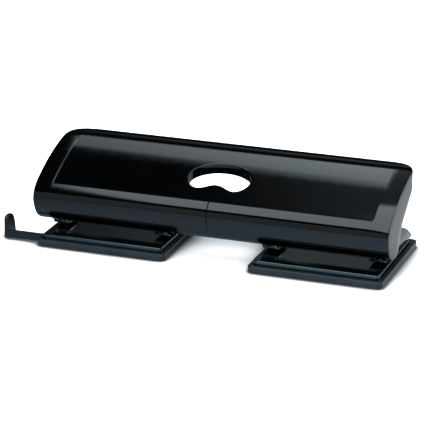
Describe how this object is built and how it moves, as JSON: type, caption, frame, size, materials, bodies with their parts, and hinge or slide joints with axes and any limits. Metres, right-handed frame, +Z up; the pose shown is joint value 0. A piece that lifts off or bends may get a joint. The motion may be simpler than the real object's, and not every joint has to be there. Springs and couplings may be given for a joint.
{
  "type": "hole punch",
  "caption": "Desk hole punch for the 80 mm filing pattern: long rounded handle on two low feet, spring-returned pins, chip trays and a sliding paper guide.",
  "frame": {"origin": "centre of the bounding box on the table the feet stand on", "axes": "+X to the right seen from the paper side, +Y from the paper side to the raised rear of the handle, +Z up"},
  "size_m": [0.289, 0.0954, 0.0675],
  "materials": {
    "black_plastic": "high gloss",
    "black_enamel": "gloss enamel",
    "zinc_plated_steel": "bright zinc plate",
    "spring_steel": "oiled",
    "tool_steel": "ground"
  },
  "bodies": {
    "base": {"base_plate_left": "black_enamel", "base_plate_right": "black_enamel", "punch_frame_left": "black_enamel", "punch_frame_right": "black_enamel", "pivot_axle": "spring_steel", "axle_clip_left": "spring_steel", "axle_clip_right": "spring_steel", "guide_detent_spring": "spring_steel", "link_channel": "zinc_plated_steel", "upper_pin_guide_left": "zinc_plated_steel", "upper_pin_guide_right": "zinc_plated_steel", "link_rivet_left_1": "zinc_plated_steel", "link_rivet_left_2": "zinc_plated_steel", "link_rivet_right_1": "zinc_plated_steel", "link_rivet_right_2": "zinc_plated_steel", "return_spring_1": "spring_steel", "frame_rivet_1": "zinc_plated_steel", "guide_rivet_1": "zinc_plated_steel", "return_spring_2": "spring_steel", "frame_rivet_2": "zinc_plated_steel", "guide_rivet_2": "zinc_plated_steel", "return_spring_3": "spring_steel", "frame_rivet_3": "zinc_plated_steel", "guide_rivet_3": "zinc_plated_steel", "return_spring_4": "spring_steel", "frame_rivet_4": "zinc_plated_steel", "guide_rivet_4": "zinc_plated_steel"},
    "handle": {"handle_cover": "black_plastic", "handle_crossbar": "zinc_plated_steel", "lever_left": "zinc_plated_steel", "lever_right": "zinc_plated_steel", "cover_screw_1": "zinc_plated_steel", "cover_screw_2": "zinc_plated_steel", "cover_screw_3": "zinc_plated_steel", "cover_screw_4": "zinc_plated_steel", "crossbar_rivet_1": "zinc_plated_steel", "crossbar_rivet_2": "zinc_plated_steel", "crossbar_rivet_3": "zinc_plated_steel", "crossbar_rivet_4": "zinc_plated_steel"},
    "pin_1": {"punch_pin_1": "tool_steel", "pin_clip_1": "spring_steel"},
    "pin_2": {"punch_pin_2": "tool_steel", "pin_clip_2": "spring_steel"},
    "pin_3": {"punch_pin_3": "tool_steel", "pin_clip_3": "spring_steel"},
    "pin_4": {"punch_pin_4": "tool_steel", "pin_clip_4": "spring_steel"},
    "tray_left": {"chip_tray_left": "black_plastic"},
    "tray_right": {"chip_tray_right": "black_plastic"},
    "guide": {"paper_guide": "black_plastic"}
  },
  "joints": [
    {"name": "handle_press", "type": "hinge", "parent": "base", "child": "handle", "pos_m": [0.0125, -0.03475, 0.029], "axis": [-1, 0, 0], "range_deg": [0, 23], "stiffness_Nm_per_rad": 2.3, "springref_deg": -20.05},
    {"name": "pin_1_stroke", "type": "slide", "parent": "base", "child": "pin_1", "axis": [0, 0, -1], "range_m": [0, 0.0069], "deforming": ["return_spring_1"]},
    {"name": "pin_2_stroke", "type": "slide", "parent": "base", "child": "pin_2", "axis": [0, 0, -1], "range_m": [0, 0.0069], "deforming": ["return_spring_2"]},
    {"name": "pin_3_stroke", "type": "slide", "parent": "base", "child": "pin_3", "axis": [0, 0, -1], "range_m": [0, 0.0069], "deforming": ["return_spring_3"]},
    {"name": "pin_4_stroke", "type": "slide", "parent": "base", "child": "pin_4", "axis": [0, 0, -1], "range_m": [0, 0.0069], "deforming": ["return_spring_4"]},
    {"name": "chip_tray_left_swing", "type": "hinge", "parent": "base", "child": "tray_left", "pos_m": [-0.0675, 0.04075, 0.0052], "axis": [1, 0, 0], "range_deg": [0, 60]},
    {"name": "chip_tray_right_swing", "type": "hinge", "parent": "base", "child": "tray_right", "pos_m": [0.0925, 0.04075, 0.0052], "axis": [1, 0, 0], "range_deg": [0, 60]},
    {"name": "paper_guide_slide", "type": "slide", "parent": "base", "child": "guide", "axis": [-1, 0, 0], "range_m": [-0.022, 0.022]}
  ],
  "couplings": [
    {"joint": "pin_1_stroke", "follows": "handle_press", "m_per_rad": 0.01717},
    {"joint": "pin_2_stroke", "follows": "handle_press", "m_per_rad": 0.01717},
    {"joint": "pin_3_stroke", "follows": "handle_press", "m_per_rad": 0.01717},
    {"joint": "pin_4_stroke", "follows": "handle_press", "m_per_rad": 0.01717}
  ]
}
